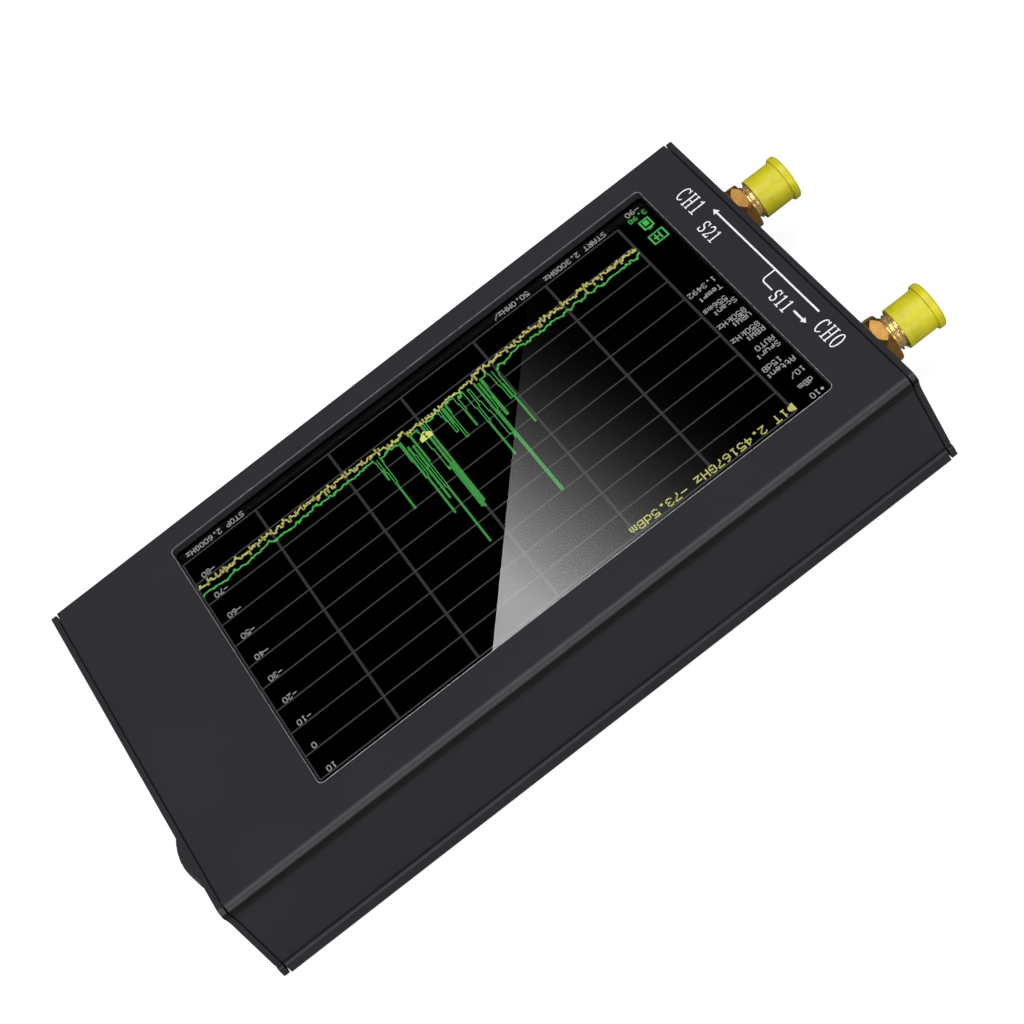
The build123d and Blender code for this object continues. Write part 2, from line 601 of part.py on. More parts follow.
for port, port_y in PORT_Y.items():
    with BuildPart() as jack_body:
        add(
            disc_stack(
                port_y,
                [(SHOULDER_R, SHOULDER_START, SHOULDER_END), (THREAD_R, SHOULDER_END, THREAD_END)],
                [
                    (DIELECTRIC_R, SHOULDER_START, THREAD_END),
                    (MOUTH_R, THREAD_END - MOUTH_DEEP, THREAD_END),
                ],
            )
        )
        thread_rim = jack_body.edges().filter_by(GeomType.CIRCLE).sort_by(Axis.X).group_by(Axis.X)[0]
        chamfer(thread_rim.sort_by(SortBy.RADIUS)[-1], 0.3)
        leg_l, leg_mid = span(*LEG_X)
        for leg_z in (BOARD_TOP, BOARD_BOTTOM - LEG_H):
            with BuildSketch(Plane.XY.offset(leg_z)):
                for side_y in (-LEG_Y, LEG_Y):
                    with Locations((-leg_mid, port_y + side_y)):
                        Rectangle(leg_l, LEG_W)
            extrude(amount=LEG_H)
    jack_body.part.label = f"{port}_jack_body"
    export_step(jack_body.part, f"parts/{port}_jack_body.step")

    with BuildPart() as insulator:
        add(
            disc_stack(
                port_y,
                [(DIELECTRIC_R, SHOULDER_START, THREAD_END - MOUTH_DEEP)],
                [(CONTACT_R, SHOULDER_START, THREAD_END)],
            )
        )
    insulator.part.label = f"{port}_insulator"
    export_step(insulator.part, f"parts/{port}_insulator.step")

    with BuildPart() as contact:
        contact_end = THREAD_END - MOUTH_DEEP
        add(
            disc_stack(
                port_y,
                [(TAIL_R, 59.6, SHOULDER_START), (CONTACT_R, SHOULDER_START, contact_end)],
                [(SOCKET_R, contact_end - SOCKET_DEEP, THREAD_END)],
            )
        )
        slit_w, slit_l = 0.16, 2.4
        with BuildSketch(end_plane(-1, contact_end)):
            with Locations((-port_y, PORT_Z)):
                Rectangle(slit_w, 3 * CONTACT_R)
                Rectangle(3 * CONTACT_R, slit_w)
        extrude(amount=-slit_l, mode=Mode.SUBTRACT)
    contact.part.label = f"{port}_contact"
    export_step(contact.part, f"parts/{port}_contact.step")

    nut_start = SHOULDER_END + WASHER_T
    nut_face_r = NUT_FLATS / 2 + 0.12
    with BuildPart() as washer:
        with BuildSketch(end_plane(-1, SHOULDER_END)):
            with Locations((-port_y, PORT_Z)):
                Circle(WASHER_R)
                Circle(THREAD_R + 0.1, mode=Mode.SUBTRACT)
                with PolarLocations(WASHER_R, 10):
                    Rectangle(0.7, 0.5, mode=Mode.SUBTRACT)
        extrude(amount=WASHER_T)
    washer.part.label = f"{port}_lock_washer"
    export_step(washer.part, f"parts/{port}_lock_washer.step")

    with BuildPart() as nut:
        with BuildSketch(end_plane(-1, nut_start)):
            with Locations((-port_y, PORT_Z)):
                RegularPolygon(NUT_FLATS / 2, 6, major_radius=False, rotation=20)
        extrude(amount=NUT_T)
        with BuildSketch(end_plane(-1, nut_start)):
            with Locations((-port_y, PORT_Z)):
                Circle(nut_face_r)
        extrude(amount=NUT_T, taper=-NUT_CHAMFER_ANGLE, mode=Mode.INTERSECT)
        with BuildSketch(end_plane(-1, nut_start + NUT_T)):
            with Locations((-port_y, PORT_Z)):
                Circle(nut_face_r)
        extrude(amount=-NUT_T, taper=-NUT_CHAMFER_ANGLE, mode=Mode.INTERSECT)
        with BuildSketch(end_plane(-1, nut_start)):
            with Locations((-port_y, PORT_Z)):
                Circle(THREAD_R + 0.025)
        extrude(amount=NUT_T, mode=Mode.SUBTRACT)
    nut.part.label = f"{port}_hex_nut"
    export_step(nut.part, f"parts/{port}_hex_nut.step")

    mouth_x = CAP_MOUTH[port]
    with BuildPart() as dust_cap:
        add(
            disc_stack(
                port_y,
                [
                    (CAP_R, mouth_x, mouth_x + CAP_L),
                    (CAP_RIM_R, mouth_x + CAP_L - CAP_RIM_L, mouth_x + CAP_L),
                ],
                [(CAP_BORE_R, mouth_x, mouth_x + CAP_L - CAP_END_T)],
            )
        )
        rim_edges = dust_cap.edges().filter_by(GeomType.CIRCLE).sort_by(SortBy.RADIUS)[-2:]
        fillet(rim_edges.sort_by(Axis.X)[0], 0.6)
        rim_edges = dust_cap.edges().filter_by(GeomType.CIRCLE).sort_by(SortBy.RADIUS)[-2:]
        fillet(rim_edges.sort_by(Axis.X)[-1], 0.25)
    dust_cap.part.label = f"{port}_dust_cap"
    export_step(dust_cap.part, f"parts/{port}_dust_cap.step")
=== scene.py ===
import json
import random
from math import cos, exp, log, pi, radians, sin

import bmesh
import bpy
from mathutils import Matrix, Vector


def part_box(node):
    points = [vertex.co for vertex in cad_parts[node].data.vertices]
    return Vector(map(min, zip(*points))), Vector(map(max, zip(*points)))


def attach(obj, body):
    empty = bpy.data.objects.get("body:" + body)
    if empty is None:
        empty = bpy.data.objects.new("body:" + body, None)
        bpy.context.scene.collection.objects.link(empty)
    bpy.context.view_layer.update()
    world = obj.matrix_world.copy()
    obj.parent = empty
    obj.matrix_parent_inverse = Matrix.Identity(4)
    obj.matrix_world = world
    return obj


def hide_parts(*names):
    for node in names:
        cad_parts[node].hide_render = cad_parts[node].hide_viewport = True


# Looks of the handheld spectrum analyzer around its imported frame. Lengths below are in
# millimetres in the frame's own axes, and MM turns them into Blender's metres.
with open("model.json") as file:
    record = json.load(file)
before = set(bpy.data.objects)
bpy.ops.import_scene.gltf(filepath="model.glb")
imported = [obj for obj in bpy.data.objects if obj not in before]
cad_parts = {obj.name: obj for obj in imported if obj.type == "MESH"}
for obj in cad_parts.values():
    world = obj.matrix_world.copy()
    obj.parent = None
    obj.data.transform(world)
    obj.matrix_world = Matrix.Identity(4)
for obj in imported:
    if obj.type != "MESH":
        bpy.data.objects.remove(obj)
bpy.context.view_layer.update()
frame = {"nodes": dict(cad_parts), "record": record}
nodes = frame["nodes"]
MM = 0.001


def box_mm(node):
    """Lowest and highest corner of a CAD node, in millimetres."""
    low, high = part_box(node)
    return low / MM, high / MM


SHELL_LOW, SHELL_HIGH = box_mm("upper_shell")
GLASS_LOW, GLASS_HIGH = box_mm("touch_glass")
LCD_LOW, LCD_HIGH = box_mm("lcd_panel")
TOP_Z = SHELL_HIGH.z


# ---------------------------------------------------------------- mesh helpers
def add_prism(mesh, outline, low, high):
    """Upright prism between two heights over an outline given anticlockwise."""
    bottom = [mesh.verts.new((x * MM, y * MM, low * MM)) for x, y in outline]
    top = [mesh.verts.new((x * MM, y * MM, high * MM)) for x, y in outline]
    mesh.faces.new(top)
    mesh.faces.new(bottom[::-1])
    for i in range(len(outline)):
        j = (i + 1) % len(outline)
        mesh.faces.new((bottom[i], bottom[j], top[j], top[i]))


def add_bar(mesh, x_low, y_low, x_high, y_high, low, high):
    """Upright block between two corners and two heights."""
    add_prism(mesh, [(x_low, y_low), (x_high, y_low), (x_high, y_high), (x_low, y_high)], low, high)


def add_strip(mesh, points, widths, low, high):
    """Flat ribbon along points, with its width at each point, between two heights."""
    rows = []
    for i, point in enumerate(points):
        along = (points[min(i + 1, len(points) - 1)] - points[max(i - 1, 0)]).normalized()
        side = Vector((-along.y, along.x)) * widths[i] / 2
        corners = [(c.x, c.y, z) for z in (low, high) for c in (point - side, point + side)]
        rows.append([mesh.verts.new((x * MM, y * MM, z * MM)) for x, y, z in corners])
    for a, b in zip(rows, rows[1:]):
        mesh.faces.new((a[0], a[1], b[1], b[0]))
        mesh.faces.new((a[2], b[2], b[3], a[3]))
        mesh.faces.new((a[0], b[0], b[2], a[2]))
        mesh.faces.new((a[1], a[3], b[3], b[1]))
    mesh.faces.new((rows[0][0], rows[0][2], rows[0][3], rows[0][1]))
    mesh.faces.new((rows[-1][0], rows[-1][1], rows[-1][3], rows[-1][2]))


def make_piece(name, mesh, material, body="case", smooth=False):
    """Object from a bmesh, with its material, riding on a body."""
    bmesh.ops.recalc_face_normals(mesh, faces=mesh.faces)
    data = bpy.data.meshes.new(name)
    mesh.to_mesh(data)
    mesh.free()
    data.materials.append(material)
    data.polygons.foreach_set("use_smooth", [smooth] * len(data.polygons))
    piece = bpy.data.objects.new(name, data)
    bpy.context.scene.collection.objects.link(piece)
    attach(piece, body)
    return piece


# ---------------------------------------------------------------- material helpers
def shader_of(material):
    return material.node_tree.nodes["Principled BSDF"]


def new_material(name, **values):
    """Principled material with values on the shader's own sockets."""
    material = bpy.data.materials.new(name)
    material.use_nodes = True
    for socket, value in values.items():
        shader_of(material).inputs[socket.replace("_", " ")].default_value = value
    return material


def add_node(material, kind, settings=None, **inputs):
    """Node with its settings and inputs; an input that is a socket is linked."""
    node = material.node_tree.nodes.new("ShaderNode" + kind)
    for key, value in (settings or {}).items():
        setattr(node, key, value)
    for key, value in inputs.items():
        socket = node.inputs[key.replace("_", " ")]
        if isinstance(value, bpy.types.NodeSocket):
            material.node_tree.links.new(value, socket)
        else:
            socket.default_value = value
    return node


def feed(material, socket, source):
    material.node_tree.links.new(source, shader_of(material).inputs[socket])


def noise(material, per_mm, detail=3.0, stretch=(1, 1, 1)):
    """Noise value at per_mm features a millimetre, fixed to the object."""
    place = add_node(material, "TexCoord").outputs["Object"]
    scaled = add_node(material, "Mapping", Vector=place, Scale=stretch).outputs["Vector"]
    texture = add_node(material, "TexNoise", Vector=scaled, Scale=per_mm / MM, Detail=detail)
    return texture.outputs["Fac"]


def specks(material, per_mm, size):
    """Value that is 1 in small round specks, size being a share of their spacing."""
    place = add_node(material, "TexCoord").outputs["Object"]
    cells = add_node(material, "TexVoronoi", Vector=place, Scale=per_mm / MM)
    near = add_node(material, "MapRange", Value=cells.outputs["Distance"])
    near.inputs["From Min"].default_value = size
    near.inputs["From Max"].default_value = size * 0.5
    return near.outputs["Result"]


def ramp(material, value, low_color, high_color, low=0.35, high=0.65):
    """Colour that goes from one to the other as value goes from low to high."""
    node = add_node(material, "ValToRGB", Fac=value)
    for stop, place, color in zip(node.color_ramp.elements, (low, high), (low_color, high_color)):
        stop.position = place
        stop.color = (*color, 1)
    return node.outputs["Color"]


def blend_colors(material, share, first, second):
    node = add_node(material, "Mix", {"data_type": "RGBA"})
    for place, value in ((0, share), (6, first), (7, second)):
        socket = node.inputs[place]
        if isinstance(value, bpy.types.NodeSocket):
            material.node_tree.links.new(value, socket)
        else:
            socket.default_value = (*value, 1)
    return node.outputs[2]


def span_value(material, value, low, high, from_low=0.3, from_high=0.7):
    """A number between low and high that follows value."""
    node = add_node(material, "MapRange", Value=value)
    node.inputs["From Min"].default_value = from_low
    node.inputs["From Max"].default_value = from_high
    node.inputs["To Min"].default_value = low
    node.inputs["To Max"].default_value = high
    return node.outputs["Result"]


def add_bumps(material, height, depth_mm, strength=1.0, below=None):
    """Bump of depth_mm from a height value, on top of another bump if given."""
    node = add_node(material, "Bump", Height=height, Distance=depth_mm * MM, Strength=strength)
    if below:
        material.node_tree.links.new(below, node.inputs["Normal"])
    feed(material, "Normal", node.outputs["Normal"])
    return node.outputs["Normal"]


def shade(color, factor):
    return tuple(c * factor for c in color)


def patterned(
    name, color, roughness, per_mm, variation=0.12, bump_mm=0.0, stretch=(1, 1, 1), **values
):
    """Material whose colour, roughness and surface follow one noise."""
    material = new_material(name, **values)
    value = noise(material, per_mm, stretch=stretch)
    darker, lighter = shade(color, 1 - variation), shade(color, 1 + variation)
    feed(material, "Base Color", ramp(material, value, darker, lighter))
    feed(material, "Roughness", span_value(material, value, roughness - 0.05, roughness + 0.05))
    if bump_mm:
        add_bumps(material, value, bump_mm)
    return material


# ---------------------------------------------------------------- materials
# The painted shade under each lip: where it fades out upwards, downwards and inwards, in
# millimetres.
LIP_SHADE_TOP = (20.7, 20.1)
LIP_SHADE_FOOT = (17.0, 18.8)
LIP_SHADE_SIDE = (37.2, 37.4)


def lip_shade_mask(material):
    """Value that is 1 in the hollow under the long edges' lips, where shade is painted into the
    colour.
    """
    place = add_node(material, "TexCoord").outputs["Object"]
    parts = add_node(material, "SeparateXYZ", Vector=place)
    fall = span_value(material, parts.outputs["Z"], 0, 1, LIP_SHADE_TOP[0] * MM, LIP_SHADE_TOP[1] * MM)
    rise = span_value(material, parts.outputs["Z"], 0, 1, LIP_SHADE_FOOT[0] * MM, LIP_SHADE_FOOT[1] * MM)
    out = add_node(material, "Math", {"operation": "ABSOLUTE"})
    material.node_tree.links.new(parts.outputs["Y"], out.inputs[0])
    beside = span_value(material, out.outputs[0], 0, 1, LIP_SHADE_SIDE[0] * MM, LIP_SHADE_SIDE[1] * MM)
    both = add_node(material, "Math", {"operation": "MULTIPLY"})
    all_three = add_node(material, "Math", {"operation": "MULTIPLY"})
    for node, first, second in ((both, fall, rise), (all_three, both.outputs[0], beside)):
        material.node_tree.links.new(first, node.inputs[0])
        material.node_tree.links.new(second, node.inputs[1])
    return all_three.outputs[0]


def anodised_case():
    """Bead-blasted, black anodised aluminium with a slight violet cast, a few light specks and
    painted shade under the lips.
    """
    color = (0.0172, 0.0166, 0.0205)
    material = new_material("anodised_case", IOR=1.33, Metallic=0.0)
    cloud = noise(material, 0.06, detail=2.0)
    base = ramp(material, cloud, shade(color, 0.93), shade(color, 1.07))
    fine = noise(material, 5.0, detail=4.0)
    grained = blend_colors(material, span_value(material, fine, 0.0, 0.35), base, shade(color, 1.7))
    dust = specks(material, 0.16, 0.014)
    dusted = blend_colors(material, dust, grained, (0.16, 0.16, 0.17))
    # Painted shade: the colour goes almost black in the hollow under each lip.
    lip_shaded = blend_colors(material, lip_shade_mask(material), dusted, shade(color, 0.02))
    feed(material, "Base Color", lip_shaded)
    feed(material, "Roughness", span_value(material, fine, 0.36, 0.5))
    coarse = add_bumps(material, noise(material, 2.2, detail=2.0), 0.012)
    add_bumps(material, fine, 0.012, below=coarse)
    return material


def gold_plate(name, color, roughness, metallic=1.0):
    """Gold plating over turned brass: fine tool marks and slightly uneven colour."""
    material = new_material(name, Metallic=metallic)
    tint = noise(material, 0.7, detail=3.0)
    feed(material, "Base Color", ramp(material, tint, shade(color, 0.78), color))
    marks = noise(material, 6.0, detail=2.0, stretch=(3, 0.4, 0.4))
    feed(material, "Roughness", span_value(material, marks, roughness - 0.06, roughness + 0.1))
    add_bumps(material, marks, 0.004)
    return material


def cap_plastic():
    """Soft moulded yellow plastic: faintly mottled, slightly see-through at its skin."""
    color = (0.56, 0.505, 0.008)
    skin = {"Subsurface Weight": 0.25, "Subsurface Scale": 0.6 * MM}
    material = new_material("cap_plastic", IOR=1.45, **skin)
    shader_of(material).inputs["Subsurface Radius"].default_value = (1.0, 0.8, 0.1)
    mottle = noise(material, 0.5, detail=3.0)
    feed(material, "Base Color", ramp(material, mottle, shade(color, 0.9), shade(color, 1.06)))
    feed(material, "Roughness", span_value(material, noise(material, 3.0), 0.36, 0.52))
    add_bumps(material, noise(material, 1.3, detail=4.0), 0.02)
    return material


def glass():
    """Clear cover glass with a very slight, uneven tint."""
    material = new_material("touch_glass", IOR=1.5, Transmission_Weight=1.0, Roughness=0.0)
    tint = noise(material, 0.05, detail=2.0)
    feed(material, "Base Color", ramp(material, tint, (0.96, 0.98, 0.975), (0.985, 0.99, 0.99)))
    return material


def black_display():
    """Unlit display surface: black, with a faint sub-pixel structure."""
    material = new_material("lcd_panel", IOR=1.15)
    grid = noise(material, 8.0, detail=0.0)
    dark, less_dark = (0.0004, 0.0004, 0.0005), (0.001, 0.001, 0.0012)
    feed(material, "Base Color", ramp(material, grid, dark, less_dark))
    feed(material, "Roughness", span_value(material, grid, 0.3, 0.4))
    return material


def lit(name, color, strength, ior=1.15, roughness=0.6):
    """Lit display pixels, slightly uneven from one to the next."""
    material = new_material(name, IOR=ior, Roughness=roughness)
    shader_of(material).inputs["Base Color"].default_value = (0.002, 0.002, 0.002, 1)
    value = noise(material, 4.0, detail=1.0)
    feed(material, "Emission Color", ramp(material, value, shade(color, 0.8), color))
    shader_of(material).inputs["Emission Strength"].default_value = strength
    return material


def label_ink():
    """White printed ink with a faint unevenness."""
    material = new_material("label_ink", IOR=1.4)
    value = noise(material, 4.0, detail=3.0)
    feed(material, "Base Color", ramp(material, value, (0.66, 0.66, 0.67), (0.84, 0.84, 0.85)))
    feed(material, "Roughness", span_value(material, value, 0.45, 0.65))
    return material


def circuit_board():
    """Dark blue solder mask over copper tracks."""
    material = new_material("circuit_board", IOR=1.5)
    place = add_node(material, "TexCoord").outputs["Object"]
    tracks = add_node(material, "TexBrick", Vector=place, Scale=0.25 / MM).outputs["Fac"]
    mask = blend_colors(material, tracks, (0.004, 0.02, 0.09), (0.006, 0.035, 0.14))
    feed(material, "Base Color", mask)
    feed(material, "Roughness", span_value(material, noise(material, 2.0), 0.25, 0.35))
    return material


SLOT_MATERIALS = {
    "anodised_case": anodised_case(),
    "screw_steel": patterned(
        "screw_steel", (0.045, 0.045, 0.05), 0.34, 3.0, 0.3, 0.004, Metallic=0.7
    ),
    "foam_tape": patterned("foam_tape", (0.015, 0.015, 0.016), 0.85, 4.0, 0.4, 0.02),
    "touch_glass": glass(),
    "lcd_panel": black_display(),
    "pressed_steel": patterned(
        "pressed_steel", (0.56, 0.56, 0.57), 0.3, 1.5, 0.1, 0.004, (1, 6, 1), Metallic=1.0
    ),
    "flex_film": patterned("flex_film", (0.45, 0.2, 0.04), 0.35, 1.0, 0.2, 0.002, (1, 5, 1)),
    "circuit_board": circuit_board(),
    "chip_epoxy": patterned("chip_epoxy", (0.02, 0.02, 0.021), 0.6, 5.0, 0.3, 0.006),
    "socket_plastic": patterned("socket_plastic", (0.55, 0.52, 0.45), 0.5, 2.0, 0.08, 0.004),
    "battery_foil": patterned("battery_foil", (0.5, 0.5, 0.52), 0.32, 0.4, 0.1, 0.03, Metallic=0.9),
    "wire_insulation": patterned("wire_insulation", (0.4, 0.015, 0.015), 0.4, 2.0, 0.15, 0.004),
    "switch_plastic": patterned("switch_plastic", (0.035, 0.035, 0.037), 0.5, 3.0, 0.2, 0.006),
    "control_plastic": patterned("control_plastic", (0.022, 0.022, 0.025), 0.45, 3.5, 0.25, 0.01),
    "pin_steel": patterned(
        "pin_steel", (0.6, 0.6, 0.6), 0.2, 3.0, 0.1, 0.002, (4, 4, 0.3), Metallic=1.0
    ),
    "led_resin": patterned("led_resin", (0.75, 0.72, 0.5), 0.3, 2.0, 0.1, 0.003),
    "light_pipe": patterned(
        "light_pipe", (0.7, 0.74, 0.76), 0.45, 4.0, 0.08, 0.01, Transmission_Weight=0.5
    ),
    "gold_brass": gold_plate("gold_brass", (0.30, 0.15, 0.033), 0.3, 0.8),
    "contact_gold": gold_plate("contact_gold", (0.9, 0.6, 0.22), 0.15),
    "washer_gold": gold_plate("washer_gold", (0.30, 0.17, 0.05), 0.4, 0.6),
    "ptfe": patterned("ptfe", (0.82, 0.82, 0.8), 0.5, 2.0, 0.04, 0.006),
    "cap_plastic": cap_plastic(),
}
THREAD_GOLD = gold_plate("thread_gold", (0.92, 0.72, 0.36), 0.2, 0.8)
CUT_EDGE = patterned("cut_edge", (0.34, 0.34, 0.35), 0.4, 1.0, 0.3)
INK = label_ink()
WHITE_PIXELS = lit("lit_white", (0.72, 0.72, 0.72), 0.62)
GRID_PIXELS = lit("lit_grid", (0.043, 0.043, 0.043), 1.0, 1.42, 0.04)
LEVEL_PIXELS = lit("lit_level", (0.060, 0.060, 0.060), 1.0, 1.5, 0.04)
GREEN_PIXELS = lit("lit_green", (0.09, 0.56, 0.11), 1.0)
YELLOW_PIXELS = lit("lit_yellow", (0.62, 0.62, 0.19), 1.0)
MARKER_PIXELS = lit("lit_marker", (0.84, 0.88, 0.22), 1.0)


def dress_cad_nodes():
    """Gives every CAD node the material of its slot."""
    slots = {part["node"]: part["material_slot"] for part in frame["record"]["subparts"]}
    for name, node in nodes.items():
        for place in node.material_slots:
            place.link = "OBJECT"
            place.material = SLOT_MATERIALS[slots[name]]


# ---------------------------------------------------------------- coaxial ports
PORT_TURN = 64           # points round a port
PITCH = 25.4 / 36        # 36 threads to the inch
THREAD_DEEP = 0.43
THREAD_STEPS = 8         # rows of points to each turn of the thread


def thread_height(turns):
    """Height of the thread's profile, 0 at the root and 1 at the crest."""
    place = turns % 1
    crest_flat, flank = 0.16, 0.32
    if place < crest_flat:
        return 1.0
    if place < crest_flat + flank:
        return 1 - (place - crest_flat) / flank
    if place < 1 - flank:
        return 0.0
    return (place - 1 + flank) / flank


def jack_body(port):
    """Threaded barrel with its shoulder, bore and board legs, in place of the plain CAD barrel."""
    low, high = box_mm(f"{port}_jack_body")
    nut_low, nut_high = box_mm(f"{port}_hex_nut")
    washer_low, washer_high = box_mm(f"{port}_lock_washer")
    insulator_low, insulator_high = box_mm(f"{port}_insulator")
    centre_y = (nut_low.y + nut_high.y) / 2
    centre_z = (washer_low.z + washer_high.z) / 2
    mouth_x, shoulder_x, back_x = low.x, washer_high.x, insulator_high.x
    thread_r, shoulder_r, bore_r, mouth_r = 3.175, 3.8, 2.05, 2.3
    thread_start, chamfer_l = shoulder_x - 0.4, 0.3
    rings = [(back_x, bore_r, None), (back_x, shoulder_r - 0.15, None)]
    rings += [(back_x - 0.15, shoulder_r, None), (shoulder_x + 0.2, shoulder_r, None)]
    rings += [(shoulder_x, shoulder_r - 0.2, None), (shoulder_x, thread_r - THREAD_DEEP, None)]
    count = round((thread_start - mouth_x) / PITCH * THREAD_STEPS)
    for i in range(count + 1):
        x = thread_start + (mouth_x - thread_start) * i / count
        rings.append((x, thread_r, i / THREAD_STEPS))
    rings += [(mouth_x, mouth_r, None)]
    rings += [(insulator_low.x, mouth_r, None), (insulator_low.x, bore_r, None)]
    mesh = bmesh.new()
    rows = []
    for x, radius, turns in rings:
        row = []
        for step in range(PORT_TURN):
            angle = 2 * pi * step / PORT_TURN
            r = radius
            if turns is not None:
                run_in = min(1.0, turns * 1.5)
                r = thread_r - THREAD_DEEP * (1 - run_in * thread_height(turns + step / PORT_TURN))
                r = min(r, thread_r - chamfer_l + (x - mouth_x))
            point = Vector((x, centre_y + r * cos(angle), centre_z + r * sin(angle)))
            row.append(mesh.verts.new(point * MM))
        rows.append(row)
    for a, b in zip(rows, rows[1:] + rows[:1]):
        for step in range(PORT_TURN):
            after = (step + 1) % PORT_TURN
            mesh.faces.new((a[step], a[after], b[after], b[step]))
    leg_w, leg_h, leg_y = 1.0, 1.2, 2.54
    board_low, board_high = box_mm("main_board")
    for side in (-leg_y, leg_y):
        for bottom in (board_high.z, board_low.z - leg_h):
            y = centre_y + side
            add_bar(mesh, back_x, y - leg_w / 2, high.x, y + leg_w / 2, bottom, bottom + leg_h)
    piece = make_piece(f"{port}_threaded_barrel", mesh, THREAD_GOLD, smooth=True)
    piece.modifiers.new("edges", "EDGE_SPLIT").split_angle = radians(40)
    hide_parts(f"{port}_jack_body")


# ---------------------------------------------------------------- display picture
# The picture has +X to its right and +Y to its top. It lies on the panel, under the glass.
PICTURE_Z = LCD_HIGH.z + 0.02
PICTURE_RISE = 0.42      # the picture's middle is this far above the window's, along +Y
LAYER = 0.015            # height of each layer of lit pixels
GRID_LEFT = -48.55
DIVISION_X = 15.1
DIVISIONS_X = 6
GRID_TOP = 26.9
DIVISION_Y = 5.725
DIVISIONS_Y = 10
GRID_RIGHT = GRID_LEFT + DIVISION_X * DIVISIONS_X
GRID_BOTTOM = GRID_TOP - DIVISION_Y * DIVISIONS_Y
COLUMN = 0.2             # width of one column of the traces

# Each character is seven rows of five dots, from the top.
DOTS = {
    "0": ".###. #...# #...# #...# #...# #...# .###.",
    "1": "..#.. .##.. ..#.. ..#.. ..#.. ..#.. .###.",
    "2": ".###. #...# ....# ...#. ..#.. .#... #####",
    "3": ".###. #...# ....# ..##. ....# #...# .###.",
    "4": "...#. ..##. .#.#. #..#. ##### ...#. ...#.",
    "5": "##### #.... ####. ....# ....# #...# .###.",
    "6": "..##. .#... #.... ####. #...# #...# .###.",
    "7": "##### ....# ...#. ..#.. .#... .#... .#...",
    "8": ".###. #...# #...# .###. #...# #...# .###.",
    "9": ".###. #...# #...# .#### ....# ...#. .##..",
    "A": ".###. #...# #...# ##### #...# #...# #...#",
    "B": "####. #...# #...# ####. #...# #...# ####.",
    "G": ".###. #...# #.... #.### #...# #...# .###.",
    "H": "#...# #...# #...# ##### #...# #...# #...#",
    "M": "#...# ##.## #.#.# #.#.# #...# #...# #...#",
    "O": ".###. #...# #...# #...# #...# #...# .###.",
    "P": "####. #...# #...# ####. #.... #.... #....",
    "R": "####. #...# #...# ####. #.#.. #..#. #...#",
    "S": ".#### #.... #.... .###. ....# ....# ####.",
    "T": "##### ..#.. ..#.. ..#.. ..#.. ..#.. ..#..",
    "U": "#...# #...# #...# #...# #...# #...# .###.",
    "V": "#...# #...# #...# #...# #...# .#.#. ..#..",
    "W": "#...# #...# #...# #.#.# #.#.# ##.## #...#",
    "a": "..... ..... .###. ....# .#### #...# .####",
    "b": "#.... #.... ####. #...# #...# #...# ####.",
    "c": "..... ..... .###. #.... #.... #...# .###.",
    "d": "....# ....# .#### #...# #...# #...# .####",
    "e": "..... ..... .###. #...# ##### #.... .###.",
    "k": "#.... #.... #..#. #.#.. ##... #.#.. #..#.",
    "m": "..... ..... ##.#. #.#.# #.#.# #.#.# #.#.#",
    "n": "..... ..... ####. #...# #...# #...# #...#",
    "p": "..... ..... ####. #...# ####. #.... #....",
    "r": "..... ..... #.##. ##..# #.... #.... #....",
    "s": "..... ..... .#### #.... .###. ....# ####.",
    "t": ".#... .#... ####. .#... .#... .#..# ..##.",
    "u": "..... ..... #...# #...# #...# #..## .##.#",
    "z": "..... ..... ##### ...#. ..#.. .#... #####",
    ".": "..... ..... ..... ..... ..... .##.. .##..",
    ":": "..... .##.. .##.. ..... .##.. .##.. .....",
    "/": "....# ....# ...#. ..#.. .#... #.... #....",
    "-": "..... ..... ..... ##### ..... ..... .....",
    "*": "..... ..... .###. .###. .###. ..... .....",
    ">": "##... ####. ##### ##### ##### ####. ##...",
}


def add_text(mesh, text, x, y, dot_w, dot_h, z, centred=False):
    """Dot-matrix text from x to the right, or centred on x, with its middle height at y."""
    pitch = 6 * dot_w
    left = x - (len(text) * pitch - dot_w) / 2 if centred else x
    top = y + 3.5 * dot_h
    for place, character in enumerate(text):
        for row, dots in enumerate(DOTS.get(character, "").split()):
            for start in range(5):
                if dots[start] == "#" and (start == 0 or dots[start - 1] == "."):
                    run = len(dots[start:]) if "." not in dots[start:] else dots[start:].index(".")
                    x_low = left + place * pitch + start * dot_w
                    y_high = top - row * dot_h
                    add_bar(mesh, x_low, y_high - dot_h, x_low + run * dot_w, y_high, z, z + LAYER)


def lay_picture(name, mesh, material):
    """Lays part of the picture on the panel."""
    bmesh.ops.translate(mesh, verts=mesh.verts, vec=(0, PICTURE_RISE * MM, 0))
    make_piece(name, mesh, material)


